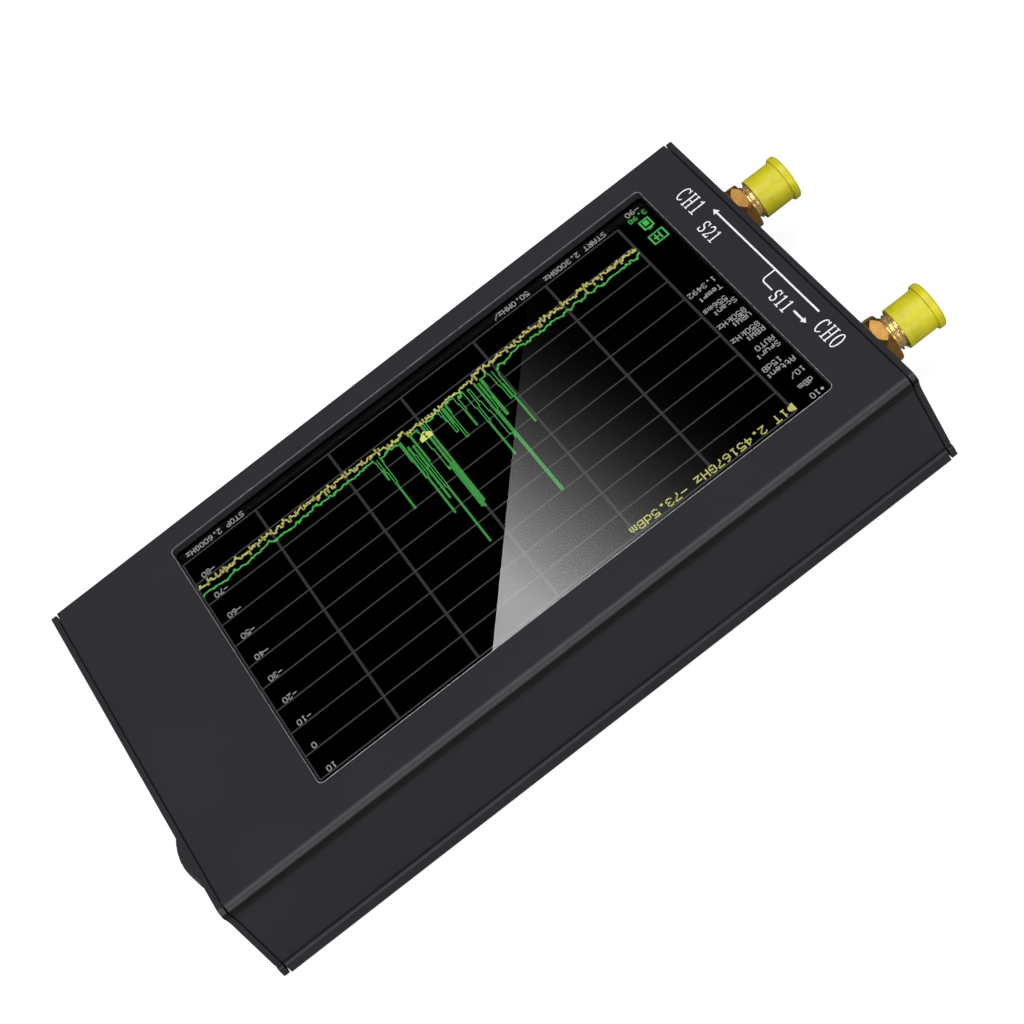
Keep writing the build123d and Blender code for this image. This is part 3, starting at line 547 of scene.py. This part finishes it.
def display_text():
    """Read-outs in the left column and along the foot, level numbers, and the marker's read-out."""
    small_w, small_h = 0.152, 0.18
    marker_w, marker_h = 0.228, 0.25
    column_x, foot_y, character = -54.4, -31.65, 6 * small_w
    level_right, level_drop = GRID_RIGHT - 1.65, 0.85
    mesh = bmesh.new()
    column = (
        ("*10", 0, 26.4), ("dBm", 0.3, 23.4), ("10/", 0, 20.5), ("Atten:", 0, 17.6),
        ("15dB", 1.7, 15.9), ("Spur:", 0, 13.0), ("AUTO", 0, 11.3), ("RBW:", 0, 8.4),
        ("850kHz", 0.1, 6.9), ("VBW:", 0, 4.0), ("850kHz", 0.1, 2.6), ("Scan:", 0, -0.5),
        ("556ms", 1, -2.1), ("Temp:", 0.2, -4.9), ("1.3492", 0, -7.2), ("-90", 0.9, -31.7),
    )
    for text, indent, y in column:
        add_text(mesh, text, column_x + indent * character, y, small_w, small_h, PICTURE_Z)
    for text, x in (("START 2.300GHz", -46.6), ("50.0MHz/", -30.6), ("STOP 2.600GHz", 28.9)):
        add_text(mesh, text, x, foot_y, small_w, small_h, PICTURE_Z)
    for step in range(DIVISIONS_Y):
        text = str(10 - 10 * step)
        x, y = level_right - len(text) * character, GRID_TOP - level_drop - DIVISION_Y * step
        add_text(mesh, text, x, y, small_w, small_h, PICTURE_Z + LAYER)
    lay_picture("display_text", mesh, WHITE_PIXELS)
    mesh = bmesh.new()
    marker_z = PICTURE_Z + 2 * LAYER
    add_text(mesh, ">1T 2.45167GHz -73.5dBm", -49.1, 25.75, marker_w, marker_h, marker_z)
    lay_picture("display_marker_text", mesh, YELLOW_PIXELS)


def display_grid():
    upright_w, level_w = 0.48, 0.3
    mesh = bmesh.new()
    for step in range(DIVISIONS_X + 1):
        left = GRID_LEFT + DIVISION_X * step - upright_w / 2
        add_bar(mesh, left, GRID_BOTTOM, left + upright_w, GRID_TOP, PICTURE_Z, PICTURE_Z + LAYER)
    lay_picture("display_grid_uprights", mesh, GRID_PIXELS)
    mesh = bmesh.new()
    low = PICTURE_Z + 0.5 * LAYER
    for step in range(DIVISIONS_Y + 1):
        y = GRID_TOP - DIVISION_Y * step
        add_bar(mesh, GRID_LEFT, y - level_w / 2, GRID_RIGHT, y + level_w / 2, low, low + LAYER)
    lay_picture("display_grid_levels", mesh, LEVEL_PIXELS)


# Peaks of the green trace: place, top and half width at the foot.
PEAKS = (
    (-17.8, -6.3, 0.35), (-17.2, -14.0, 0.5), (-15.0, -11.5, 0.5), (-14.0, 9.5, 0.5),
    (-13.4, -7.5, 0.6), (-12.0, -3.2, 0.45), (-10.2, -13.9, 0.35), (-7.8, -13.1, 0.5),
    (-7.0, -15.5, 0.7), (-3.5, 0.8, 0.3), (-3.1, 2.0, 0.35), (-2.7, 1.6, 0.35),
    (-2.3, -9.6, 0.4), (-0.3, 8.8, 0.4), (0.4, -4.4, 0.4), (1.3, -1.0, 0.5),
    (5.8, -7.3, 0.35), (6.4, -16.3, 0.3),
)


def peak_share(off):
    """Height of a peak, as a share of its top, at a distance of off times its half width."""
    for reach, share in ((0.3, 1.0), (0.55, 0.5), (0.8, 0.26), (1.0, 0.1)):
        if off < reach:
            return share
    return 0.0


def add_trace(mesh, heights, feet, z):
    """Trace drawn as a display does: one upright run of pixels in each column, down to its foot."""
    half = COLUMN * 0.6
    for i in range(len(heights) - 1):
        low, high = sorted(heights[i : i + 2])
        low = min(low, feet[i]) - half
        x = GRID_LEFT + COLUMN * i
        width = COLUMN if high - low < 4 * COLUMN else COLUMN * 0.6
        add_bar(mesh, x, low, x + width, high + half, z, z + LAYER)


def display_traces():
    rng = random.Random(11)
    columns = int((GRID_RIGHT - GRID_LEFT) / COLUMN) + 1
    green, feet, yellow = [], [], []
    wander = 0.0
    for i in range(columns):
        x = GRID_LEFT + COLUMN * i
        share = i / columns
        wander = 0.75 * wander + rng.gauss(0, 0.18)
        height = -22.4 + 1.0 * share + wander
        foot = height
        for place, top, width in PEAKS:
            reached = foot + (top - foot) * peak_share(abs(x - place) / width)
            height = max(height, reached)
        feet.append(foot if rng.random() < 0.4 else height)
        green.append(height)
        hump = 1.3 * exp(-(((x + 4) / 9) ** 2))
        yellow.append(-24.1 + 0.7 * share + hump + rng.gauss(0, 0.42))
    mesh = bmesh.new()
    add_trace(mesh, yellow, yellow, PICTURE_Z + 2 * LAYER)
    lay_picture("display_yellow_trace", mesh, YELLOW_PIXELS)
    mesh = bmesh.new()
    add_trace(mesh, green, feet, PICTURE_Z + 1.5 * LAYER)
    lay_picture("display_green_trace", mesh, GREEN_PIXELS)


def add_frame(mesh, x, y, width, height, line, z):
    """Rectangular outline centred on a point."""
    left, right, low, high = x - width / 2, x + width / 2, y - height / 2, y + height / 2
    add_bar(mesh, left, low, right, low + line, z, z + LAYER)
    add_bar(mesh, left, high - line, right, high, z, z + LAYER)
    add_bar(mesh, left, low + line, left + line, high - line, z, z + LAYER)
    add_bar(mesh, right - line, low + line, right, high - line, z, z + LAYER)


def display_icons():
    """Green status signs at the foot of the left column, and the yellow marker on the trace."""
    icon_x, line, low, high = -52.7, 0.3, PICTURE_Z, PICTURE_Z + LAYER
    mesh = bmesh.new()
    add_frame(mesh, icon_x, -23.15, 3.0, 2.7, line, low)
    for offset in (-0.55, 0.25):
        add_bar(mesh, icon_x + offset, -24.0, icon_x + offset + line, -22.3, low, high)
    add_bar(mesh, icon_x - 0.2, -23.3, icon_x + 0.9, -23.0, high, PICTURE_Z + 2 * LAYER)
    add_frame(mesh, icon_x, -27.35, 2.0, 2.6, line, low)
    add_bar(mesh, icon_x - 0.4, -26.05, icon_x + 0.4, -25.7, low, high)
    add_bar(mesh, icon_x - 0.45, -28.2, icon_x + 0.45, -26.9, low, high)
    add_text(mesh, "3.98", icon_x + 0.3, -30.0, 0.152, 0.17, PICTURE_Z, centred=True)
    lay_picture("display_status_signs", mesh, GREEN_PIXELS)
    mesh = bmesh.new()
    x, top, foot, half = -2.6, -18.4, -20.5, 1.15
    left, right = x - half, x + half
    outline = [(x, foot), (right, top - 1.0), (right, top), (left, top), (left, top - 1.0)]
    add_prism(mesh, outline, PICTURE_Z + 3 * LAYER, PICTURE_Z + 3.6 * LAYER)
    lay_picture("display_trace_marker", mesh, MARKER_PIXELS)
    mesh = bmesh.new()
    add_text(mesh, "1", x, -19.3, 0.2, 0.2, PICTURE_Z + 3.7 * LAYER, centred=True)
    lay_picture("display_marker_number", mesh, SLOT_MATERIALS["lcd_panel"])


# ---------------------------------------------------------------- printed labels
# Labels read towards +Y with their tops towards -X. A glyph is drawn in a unit box, u along
# the reading direction and v up, as bars of thick and thin strokes.
INK_LOW, INK_HIGH = TOP_Z, TOP_Z + 0.02


def arc(centre_u, centre_v, radius_u, radius_v, start, stop, count=20):
    """Points on an elliptical arc, angles in degrees."""
    angles = [radians(start + (stop - start) * i / count) for i in range(count + 1)]
    return [(centre_u + radius_u * cos(a), centre_v + radius_v * sin(a)) for a in angles]


def swell(count, thin, thick):
    """Stroke widths that grow from thin to thick in the middle."""
    return [thin + (thick - thin) * sin(pi * i / (count - 1)) ** 1.5 for i in range(count)]


def glyph(character, thick, thin):
    """Strokes of one serif character as (points, widths)."""
    strokes = []
    if character == "C":
        bowl = arc(0.52, 0.5, 0.37, 0.44, 48, 312, 30)
        strokes.append((bowl, swell(len(bowl), thin, thick)))
        strokes.append(([(0.83, 0.72), (0.83, 0.98)], [thin, thin * 1.6]))
        strokes.append(([(0.74, 0.1), (0.86, 0.24)], [thin, thin]))
    if character == "0":
        ring = arc(0.5, 0.5, 0.34, 0.46, 0, 360, 40)
        widths = [thin + (thick - thin) * abs(cos(2 * pi * i / 40)) for i in range(41)]
        strokes.append((ring, widths))
    if character == "H":
        for u in (0.22, 0.78):
            strokes.append(([(u, 0.0), (u, 1.0)], [thick, thick]))
            for v in (0.03, 0.97):
                strokes.append(([(u - 0.2, v), (u + 0.2, v)], [thin, thin]))
        strokes.append(([(0.22, 0.5), (0.78, 0.5)], [thin, thin]))
    if character == "1":
        strokes.append(([(0.5, 0.0), (0.5, 1.0)], [thick, thick]))
        strokes.append(([(0.18, 0.03), (0.82, 0.03)], [thin, thin]))
        strokes.append(([(0.2, 0.84), (0.5, 0.97)], [thin, thin]))
    if character == "S":
        upper = arc(0.5, 0.74, 0.3, 0.22, 20, 250, 16)
        lower = arc(0.5, 0.27, 0.32, 0.23, 70, -160, 16)
        spine = upper + lower
        strokes.append((spine, swell(len(spine), thin, thick)))
        strokes.append(([(0.82, 0.7), (0.82, 0.98)], [thin, thin]))
        strokes.append(([(0.17, 0.02), (0.17, 0.3)], [thin, thin]))
    if character == "2":
        top = arc(0.5, 0.7, 0.32, 0.27, 170, -10, 16)
        diagonal = [(0.74, 0.52), (0.5, 0.28), (0.2, 0.06)]
        path = top + diagonal
        strokes.append((path, swell(len(path), thin, thick)))
        strokes.append(([(0.16, 0.05), (0.84, 0.05)], [thin * 1.5, thin * 1.5]))
        strokes.append(([(0.84, 0.02), (0.84, 0.22)], [thin, thin]))
    return strokes


def add_label(mesh, text, start_y, foot_x, height, advance, width):
    """Prints text from start_y towards +Y; its foot is at foot_x and its top height nearer -X."""
    thick, thin = 0.29, 0.16
    for place, character in enumerate(text):
        for level, (points, widths) in enumerate(glyph(character, thick, thin)):
            path = []
            for u, v in points:
                path.append(Vector((foot_x - v * height, start_y + place * advance + u * width)))
            add_strip(mesh, path, widths, INK_LOW, INK_HIGH + 0.001 * level)


def port_labels():
    mesh = bmesh.new()
    add_label(mesh, "CH1", -25.75, -58.6, 3.05, 2.3, 1.95)
    add_label(mesh, "S21", -16.45, -57.45, 2.45, 1.75, 1.65)
    add_label(mesh, "S11", 6.15, -57.6, 2.4, 1.7, 1.6)
    add_label(mesh, "CH0", 17.35, -58.95, 3.0, 2.25, 1.95)
    make_piece("port_labels", mesh, INK)


def add_arrow(mesh, x, tail_y, tip_y, line, head_l, head_w):
    """Arrow along Y from its tail to its tip."""
    way = 1 if tip_y > tail_y else -1
    neck = tip_y - way * head_l
    add_strip(mesh, [Vector((x, tail_y)), Vector((x, neck))], [line, line], INK_LOW, INK_HIGH)
    add_strip(mesh, [Vector((x, neck)), Vector((x, tip_y))], [head_w, 0.06], INK_LOW, INK_HIGH)


def signal_path():
    """Printed signal path between the two ports."""
    mesh = bmesh.new()
    main_x, line, branch_line = -61.72, 0.31, 0.27
    add_arrow(mesh, main_x, 15.5, -17.5, line, 1.1, 1.2)
    turn_r, branch_x, branch_y = 0.7, -59.0, 2.3
    corner = arc(branch_x - turn_r, branch_y + turn_r, turn_r, turn_r, -90, 0, 8)
    path = [Vector(point) for point in [(main_x, branch_y), *corner, (branch_x, 5.5)]]
    add_strip(mesh, path, [branch_line] * len(path), INK_LOW, INK_HIGH + 0.001)
    add_arrow(mesh, branch_x - 0.05, 12.0, 15.7, 0.36, 1.0, 1.05)
    make_piece("printed_signal_path", mesh, INK)


# ---------------------------------------------------------------- window's cut edge and painted highlight
WINDOW_LOW, WINDOW_HIGH, WINDOW_R = (-55.1, -32.55), (42.15, 29.85), 0.95


def window_outline(margin_x, margin_low_y, margin_high_y):
    """Rounded outline of the window, with margins at its ends, its lower and its upper side."""
    left, right = WINDOW_LOW[0] - margin_x, WINDOW_HIGH[0] + margin_x
    low, high = WINDOW_LOW[1] - margin_low_y, WINDOW_HIGH[1] + margin_high_y
    points = []
    ways = ((right, high, -1, -1), (left, high, 1, -1), (left, low, 1, 1), (right, low, -1, 1))
    for turn, (x, y, way_x, way_y) in enumerate(ways):
        centre = (x + way_x * WINDOW_R, y + way_y * WINDOW_R)
        points += arc(*centre, WINDOW_R, WINDOW_R, 90 * turn, 90 * turn + 90, 6)
    return points


def window_cut_edge_and_highlight():
    """Bare metal line where the window was cut through the anodised skin, wider along +Y as a
    painted highlight.
    """
    mesh = bmesh.new()
    rows = []
    # The wider margin along +Y paints in the highlight on that edge; elsewhere the line is the bare
    # metal's own colour.
    for outline in (window_outline(0, 0, 0), window_outline(0.05, 0.05, 0.11)):
        for z in (TOP_Z, TOP_Z + 0.012):
            rows.append([mesh.verts.new((x * MM, y * MM, z * MM)) for x, y in outline])
    inner_low, inner_high, outer_low, outer_high = rows
    loops = (inner_low, inner_high, outer_high, outer_low)
    count = len(inner_low)
    for a, b in zip(loops, loops[1:] + loops[:1]):
        for i in range(count):
            j = (i + 1) % count
            mesh.faces.new((a[i], a[j], b[j], b[i]))
    make_piece("window_cut_edge_and_highlight", mesh, CUT_EDGE)


# ---------------------------------------------------------------- USB contacts
def usb_contacts():
    """Gold pads on both faces of the USB tongue."""
    low, high = box_mm("usb_tongue")
    centre_z = (low.z + high.z) / 2
    pads, pitch, pad_w, pad_l, half_t, proud = 12, 0.5, 0.3, 3.2, 0.35, 0.02
    pad_end = high.x - 0.3
    mesh = bmesh.new()
    for i in range(pads):
        left = pitch * (i - (pads - 1) / 2) - pad_w / 2
        for bottom in (centre_z + half_t, centre_z - half_t - proud):
            add_bar(mesh, pad_end - pad_l, left, pad_end, left + pad_w, bottom, bottom + proud)
    make_piece("usb_contact_pads", mesh, SLOT_MATERIALS["contact_gold"])


# ---------------------------------------------------------------- camera
CAMERA_AIM = Vector((-5.98, -1.16, 11.0))
CAMERA_DISTANCE = 457.85
CAMERA_DOWN = 0.78157    # radians below the horizon
CAMERA_TURN = 0.02605    # radians from looking along -Y
CAMERA_ROLL = -0.64025
CAMERA_LENS = 100.81     # for a sensor 36 mm wide


def camera_frame():
    """Camera's right, up and forward directions, and its place in millimetres."""
    level, fall = cos(CAMERA_DOWN), sin(CAMERA_DOWN)
    forward = Vector((-sin(CAMERA_TURN) * level, -cos(CAMERA_TURN) * level, -fall))
    flat_right = Vector((-cos(CAMERA_TURN), sin(CAMERA_TURN), 0))
    flat_up = flat_right.cross(forward)
    right = cos(CAMERA_ROLL) * flat_right + sin(CAMERA_ROLL) * flat_up
    up = cos(CAMERA_ROLL) * flat_up - sin(CAMERA_ROLL) * flat_right
    return right, up, forward, CAMERA_AIM - CAMERA_DISTANCE * forward


def make_camera():
    right, up, forward, place = camera_frame()
    data = bpy.data.cameras.new("camera")
    data.lens = CAMERA_LENS
    data.sensor_width = 36
    data.clip_start, data.clip_end = 0.01, 50
    camera = bpy.data.objects.new("camera", data)
    bpy.context.scene.collection.objects.link(camera)
    turn = Matrix((right, up, -forward)).transposed().to_4x4()
    camera.matrix_world = Matrix.Translation(place * MM) @ turn
    bpy.context.scene.camera = camera


# ---------------------------------------------------------------- stage and light
PAPER_GLOW = 0.87        # light that the paper gives off towards the camera only
BACKDROP = 0.95          # strength of the world as the camera sees it
WORLD_FILL = 0.0275      # strength of the world on matt surfaces
PANEL_POWER = 20.5
# Softboxes: name, place, point aimed at, size, in metres, and watts.
SOFTBOXES = (
    ("overhead", (0.0, 0.3, 1.3), (0, 0, 0), (1.3, 1.1), 19),
    ("front", (0.15, 1.4, 0.42), (0, 0, 0.02), (1.2, 0.7), 14),
    ("back", (0.0, -1.3, 0.8), (0, 0, 0.02), (1.4, 0.5), 1.0),
    ("left_fill", (-1.3, 0.1, 0.6), (0, 0, 0.02), (0.8, 0.8), 5),
    ("right_fill", (1.3, 0.1, 0.6), (0, 0, 0.02), (0.8, 0.8), 5),
)


def floor_paper():
    """White paper that glows for the camera, to keep shadows faint, and lights little else."""
    material = patterned("floor_paper", (0.22, 0.22, 0.22), 0.8, 0.01, 0.02)
    tree = material.node_tree
    glow = add_node(material, "Emission", Strength=PAPER_GLOW)
    rays = add_node(material, "LightPath")
    lit_part = add_node(material, "AddShader")
    tree.links.new(shader_of(material).outputs[0], lit_part.inputs[0])
    tree.links.new(glow.outputs[0], lit_part.inputs[1])
    choice = add_node(material, "MixShader", Fac=rays.outputs["Is Camera Ray"])
    tree.links.new(shader_of(material).outputs[0], choice.inputs[1])
    tree.links.new(lit_part.outputs[0], choice.inputs[2])
    tree.links.new(choice.outputs[0], tree.nodes["Material Output"].inputs["Surface"])
    return material


def make_floor():
    mesh = bmesh.new()
    half, drop = 6.0, 0.00005
    for x, y in ((-half, -half), (half, -half), (half, half), (-half, half)):
        mesh.verts.new((x, y, -drop))
    mesh.faces.new(mesh.verts)
    data = bpy.data.meshes.new("floor")
    mesh.to_mesh(data)
    mesh.free()
    data.materials.append(floor_paper())
    floor = bpy.data.objects.new("floor", data)
    bpy.context.scene.collection.objects.link(floor)


def all_but_glass():
    """Receivers of the softboxes: everything but the glass, which mirrors only its own panel."""
    receivers = bpy.data.collections.new("softbox_receivers")
    receivers.objects.link(nodes["touch_glass"])
    receivers.collection_objects[0].light_linking.link_state = "EXCLUDE"
    return receivers


def area_light(name, place, aim, size, watts, receivers):
    """Rectangular softbox facing the point it is aimed at."""
    data = bpy.data.lights.new(name, "AREA")
    data.shape = "RECTANGLE"
    data.size, data.size_y = size
    data.energy = watts
    light = bpy.data.objects.new(name, data)
    bpy.context.scene.collection.objects.link(light)
    light.location = place
    light.rotation_mode = "QUATERNION"
    light.rotation_quaternion = (Vector(place) - Vector(aim)).to_track_quat("Z", "Y")
    light.light_linking.receiver_collection = receivers


def make_world():
    """Pale backdrop for the camera, faint fill for matt surfaces, nothing for gloss to mirror."""
    world = bpy.data.worlds.new("studio")
    bpy.context.scene.world = world
    world.use_nodes = True
    tree = world.node_tree
    background = tree.nodes["Background"]
    background.inputs["Color"].default_value = (1, 1, 1, 1)
    rays = tree.nodes.new("ShaderNodeLightPath")
    camera_part = tree.nodes.new("ShaderNodeMath")
    camera_part.operation = "MULTIPLY_ADD"
    camera_part.inputs[1].default_value = BACKDROP
    diffuse_part = tree.nodes.new("ShaderNodeMath")
    diffuse_part.operation = "MULTIPLY"
    diffuse_part.inputs[1].default_value = WORLD_FILL
    tree.links.new(rays.outputs["Is Diffuse Ray"], diffuse_part.inputs[0])
    tree.links.new(rays.outputs["Is Camera Ray"], camera_part.inputs[0])
    tree.links.new(diffuse_part.outputs[0], camera_part.inputs[2])
    tree.links.new(camera_part.outputs[0], background.inputs["Strength"])


# Where the mirrored panel lies on the glass: its sharp edge, and how far it fades towards -X.
GLOSS_EDGE = (Vector((12.4, 32.5)), Vector((-33.4, -35.0)))
GLOSS_FAR_X = -60.0


def gloss_level(point):
    """How bright the mirrored panel looks at a point of the glass, 0 to 1 on a display's scale."""
    distance = (9 - point.x) + 0.22 * (27 - point.y)
    soft = 0.13
    return min(0.635, soft * log(1 + exp((0.8 - 0.0185 * distance) / soft)))


def make_gloss_panel():
    """Panel of light that the glass mirrors into the camera: bright at one edge, fading away.

    Its points are laid out on the glass and carried along the mirrored sight lines to a height.
    """
    panel_z, rows, columns = 620.0, 24, 40
    eye = camera_frame()[3]
    eye.z = 2 * GLASS_HIGH.z - eye.z
    mesh = bmesh.new()
    levels = []
    grid = []
    for i in range(rows + 1):
        edge = GLOSS_EDGE[0].lerp(GLOSS_EDGE[1], i / rows)
        row = []
        for j in range(columns + 1):
            point = Vector((edge.x + (GLOSS_FAR_X - edge.x) * (j / columns) ** 1.3, edge.y))
            on_glass = Vector((point.x, point.y, GLASS_HIGH.z))
            reach = (panel_z - eye.z) / (GLASS_HIGH.z - eye.z)
            row.append(mesh.verts.new((eye + (on_glass - eye) * reach) * MM))
            levels.append(gloss_level(point) ** 2.2)
        grid.append(row)
    for a, b in zip(grid, grid[1:]):
        for j in range(columns):
            mesh.faces.new((a[j], a[j + 1], b[j + 1], b[j]))
    data = bpy.data.meshes.new("gloss_panel")
    mesh.to_mesh(data)
    mesh.free()
    glow = data.attributes.new("glow", "FLOAT", "POINT")
    glow.data.foreach_set("value", levels)
    material = bpy.data.materials.new("gloss_panel")
    material.use_nodes = True
    tree = material.node_tree
    tree.nodes.clear()
    attribute = tree.nodes.new("ShaderNodeAttribute")
    attribute.attribute_name = "glow"
    power = tree.nodes.new("ShaderNodeMath")
    power.operation = "MULTIPLY"
    power.inputs[1].default_value = PANEL_POWER
    emission = tree.nodes.new("ShaderNodeEmission")
    output = tree.nodes.new("ShaderNodeOutputMaterial")
    tree.links.new(attribute.outputs["Fac"], power.inputs[0])
    tree.links.new(power.outputs[0], emission.inputs["Strength"])
    tree.links.new(emission.outputs[0], output.inputs["Surface"])
    data.materials.append(material)
    panel = bpy.data.objects.new("gloss_panel", data)
    bpy.context.scene.collection.objects.link(panel)
    panel.visible_camera = False
    panel.visible_diffuse = False
    panel.visible_shadow = False
    panel.visible_transmission = False
    receivers = bpy.data.collections.new("gloss_receivers")
    receivers.objects.link(nodes["touch_glass"])
    panel.light_linking.receiver_collection = receivers


def make_lights():
    lit_nodes = all_but_glass()
    for name, place, aim, size, watts in SOFTBOXES:
        area_light(name, place, aim, size, watts, lit_nodes)


dress_cad_nodes()
for port_name in ("ch0", "ch1"):
    jack_body(port_name)
display_grid()
display_text()
display_traces()
display_icons()
port_labels()
signal_path()
window_cut_edge_and_highlight()
usb_contacts()
make_camera()
make_floor()
make_world()
make_lights()
make_gloss_panel()
bpy.context.scene.view_settings.view_transform = "Standard"
